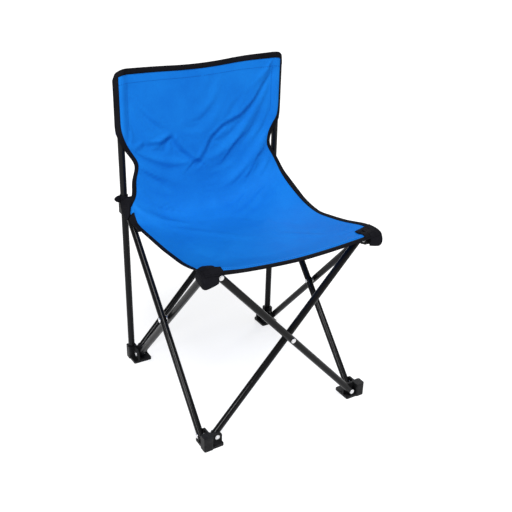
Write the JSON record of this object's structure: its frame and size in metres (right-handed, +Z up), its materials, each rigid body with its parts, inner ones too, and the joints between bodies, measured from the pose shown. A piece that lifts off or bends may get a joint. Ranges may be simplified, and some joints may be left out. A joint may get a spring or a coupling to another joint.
{
  "type": "folding camping chair",
  "caption": "Armless quad-fold camping chair: crossed black steel tubes riveted to plastic feet and hubs, two back posts, and a blue fabric seat and back with black binding.",
  "frame": {"origin": "on the floor under the middle of the square that the four corners make", "axes": "+Z up, -Y is the front where the sitter's legs go, +X is the viewer's right when looking at the front"},
  "size_m": [0.437, 0.437, 0.74],
  "materials": {
    "tube_paint": "gloss black powder coat",
    "black_plastic": "satin moulded",
    "rivet_steel": "zinc plated",
    "blue_fabric": "woven polyester",
    "black_fabric": "woven polyester tape"
  },
  "bodies": {
    "rear_left_leg": {"rear_left_foot": "black_plastic", "rear_left_foot_rivets": "rivet_steel", "left_post": "tube_paint", "left_post_cap": "black_plastic"},
    "left_inner": {"left_inner_tube": "tube_paint", "left_inner_plugs": "black_plastic", "left_cross_rivet": "rivet_steel", "left_spacer": "rivet_steel"},
    "left_outer": {"left_outer_tube": "tube_paint", "left_outer_plugs": "black_plastic"},
    "front_left_shoe": {"front_left_foot": "black_plastic", "front_left_foot_rivets": "rivet_steel"},
    "left_slider": {"left_hub": "black_plastic", "left_hub_rivets": "rivet_steel"},
    "front_left_corner": {"front_left_bracket": "black_plastic", "front_left_bracket_rivets": "rivet_steel", "front_left_pocket": "black_fabric"},
    "front_inner": {"front_inner_tube": "tube_paint", "front_inner_plugs": "black_plastic", "front_cross_rivet": "rivet_steel", "front_spacer": "rivet_steel"},
    "front_outer": {"front_outer_tube": "tube_paint", "front_outer_plugs": "black_plastic"},
    "front_right_shoe": {"front_right_foot": "black_plastic", "front_right_foot_rivets": "rivet_steel"},
    "rear_outer": {"rear_outer_tube": "tube_paint", "rear_outer_plugs": "black_plastic", "rear_cross_rivet": "rivet_steel", "rear_spacer": "rivet_steel"},
    "rear_inner": {"rear_inner_tube": "tube_paint", "rear_inner_plugs": "black_plastic"},
    "rear_right_leg": {"rear_right_foot": "black_plastic", "rear_right_foot_rivets": "rivet_steel", "right_post": "tube_paint", "right_post_cap": "black_plastic"},
    "right_slider": {"right_hub": "black_plastic", "right_hub_rivets": "rivet_steel"},
    "right_outer": {"right_outer_tube": "tube_paint", "right_outer_plugs": "black_plastic", "right_cross_rivet": "rivet_steel", "right_spacer": "rivet_steel"},
    "right_inner": {"right_inner_tube": "tube_paint", "right_inner_plugs": "black_plastic"},
    "front_right_corner": {"front_right_bracket": "black_plastic", "front_right_bracket_rivets": "rivet_steel", "front_right_pocket": "black_fabric"},
    "back_left_panel": {"back_left": "blue_fabric", "left_sleeve": "blue_fabric"},
    "back_right_panel": {"back_right": "blue_fabric", "right_sleeve": "blue_fabric"},
    "seat_left_panel": {"seat_left": "blue_fabric"},
    "seat_right_panel": {"seat_right": "blue_fabric"}
  },
  "joints": [
    {"name": "fold", "type": "hinge", "parent": "rear_left_leg", "child": "left_inner", "pos_m": [-0.1915, 0.18, 0.02], "axis": [-1, 0, 0], "range_deg": [0, 38], "deforming": ["back_left", "back_right", "seat_left", "seat_right"]},
    {"name": "left_cross", "type": "hinge", "parent": "left_inner", "child": "left_outer", "pos_m": [-0.2, 0, 0.218], "axis": [1, 0, 0], "range_deg": [0, 76]},
    {"name": "front_left_foot_pivot", "type": "hinge", "parent": "left_outer", "child": "front_left_shoe", "pos_m": [-0.2085, -0.18, 0.02], "axis": [-1, 0, 0], "range_deg": [0, 38]},
    {"name": "left_hub_pivot", "type": "hinge", "parent": "left_outer", "child": "left_slider", "pos_m": [-0.2085, 0.18, 0.416], "axis": [-1, 0, 0], "range_deg": [0, 38]},
    {"name": "front_left_bracket_pivot", "type": "hinge", "parent": "left_inner", "child": "front_left_corner", "pos_m": [-0.1915, -0.18, 0.416], "axis": [1, 0, 0], "range_deg": [0, 38]},
    {"name": "front_inner_foot_pivot", "type": "hinge", "parent": "front_left_shoe", "child": "front_inner", "pos_m": [-0.18, -0.1915, 0.02], "axis": [0, -1, 0], "range_deg": [0, 38]},
    {"name": "front_cross", "type": "hinge", "parent": "front_inner", "child": "front_outer", "pos_m": [0, -0.2, 0.218], "axis": [0, 1, 0], "range_deg": [0, 76]},
    {"name": "front_right_foot_pivot", "type": "hinge", "parent": "front_outer", "child": "front_right_shoe", "pos_m": [0.18, -0.2085, 0.02], "axis": [0, -1, 0], "range_deg": [0, 38]},
    {"name": "front_right_bracket_pivot", "type": "hinge", "parent": "front_inner", "child": "front_right_corner", "pos_m": [0.18, -0.1915, 0.416], "axis": [0, 1, 0], "range_deg": [0, 38]},
    {"name": "rear_outer_foot_pivot", "type": "hinge", "parent": "rear_left_leg", "child": "rear_outer", "pos_m": [-0.18, 0.2085, 0.02], "axis": [0, -1, 0], "range_deg": [0, 38]},
    {"name": "rear_cross", "type": "hinge", "parent": "rear_outer", "child": "rear_inner", "pos_m": [0, 0.2, 0.218], "axis": [0, 1, 0], "range_deg": [0, 76]},
    {"name": "rear_right_foot_pivot", "type": "hinge", "parent": "rear_inner", "child": "rear_right_leg", "pos_m": [0.18, 0.1915, 0.02], "axis": [0, -1, 0], "range_deg": [0, 38]},
    {"name": "right_hub_pivot", "type": "hinge", "parent": "rear_outer", "child": "right_slider", "pos_m": [0.18, 0.2085, 0.416], "axis": [0, 1, 0], "range_deg": [0, 38]},
    {"name": "right_outer_foot_pivot", "type": "hinge", "parent": "rear_right_leg", "child": "right_outer", "pos_m": [0.2085, 0.18, 0.02], "axis": [-1, 0, 0], "range_deg": [0, 38]},
    {"name": "right_cross", "type": "hinge", "parent": "right_outer", "child": "right_inner", "pos_m": [0.2, 0, 0.218], "axis": [1, 0, 0], "range_deg": [0, 76]},
    {"name": "back_left_fold", "type": "hinge", "parent": "rear_left_leg", "child": "back_left_panel", "pos_m": [-0.206, 0.206, 0.6], "axis": [0, 0, 1], "range_deg": [0, 64.6]},
    {"name": "back_right_fold", "type": "hinge", "parent": "rear_right_leg", "child": "back_right_panel", "pos_m": [0.206, 0.206, 0.6], "axis": [0, 0, -1], "range_deg": [0, 64.6]},
    {"name": "seat_left_fold", "type": "hinge", "parent": "front_left_corner", "child": "seat_left_panel", "pos_m": [-0.1815, 0, 0.43], "axis": [0, 1, 0], "range_deg": [0, 76]},
    {"name": "seat_right_fold", "type": "hinge", "parent": "front_right_corner", "child": "seat_right_panel", "pos_m": [0.1815, 0, 0.43], "axis": [0, -1, 0], "range_deg": [0, 76]}
  ],
  "couplings": [
    {"joint": "left_cross", "follows": "fold", "ratio": 2},
    {"joint": "front_left_foot_pivot", "follows": "fold", "ratio": 1},
    {"joint": "left_hub_pivot", "follows": "fold", "ratio": 1},
    {"joint": "front_left_bracket_pivot", "follows": "fold", "ratio": 1},
    {"joint": "front_inner_foot_pivot", "follows": "fold", "ratio": 1},
    {"joint": "front_cross", "follows": "fold", "ratio": 2},
    {"joint": "front_right_foot_pivot", "follows": "fold", "ratio": 1},
    {"joint": "front_right_bracket_pivot", "follows": "fold", "ratio": 1},
    {"joint": "rear_outer_foot_pivot", "follows": "fold", "ratio": 1},
    {"joint": "rear_cross", "follows": "fold", "ratio": 2},
    {"joint": "rear_right_foot_pivot", "follows": "fold", "ratio": 1},
    {"joint": "right_hub_pivot", "follows": "fold", "ratio": 1},
    {"joint": "right_outer_foot_pivot", "follows": "fold", "ratio": 1},
    {"joint": "right_cross", "follows": "fold", "ratio": 2},
    {"joint": "back_left_fold", "follows": "fold", "ratio": 1.7},
    {"joint": "back_right_fold", "follows": "fold", "ratio": 1.7},
    {"joint": "seat_left_fold", "follows": "fold", "ratio": 2},
    {"joint": "seat_right_fold", "follows": "fold", "ratio": 2}
  ]
}
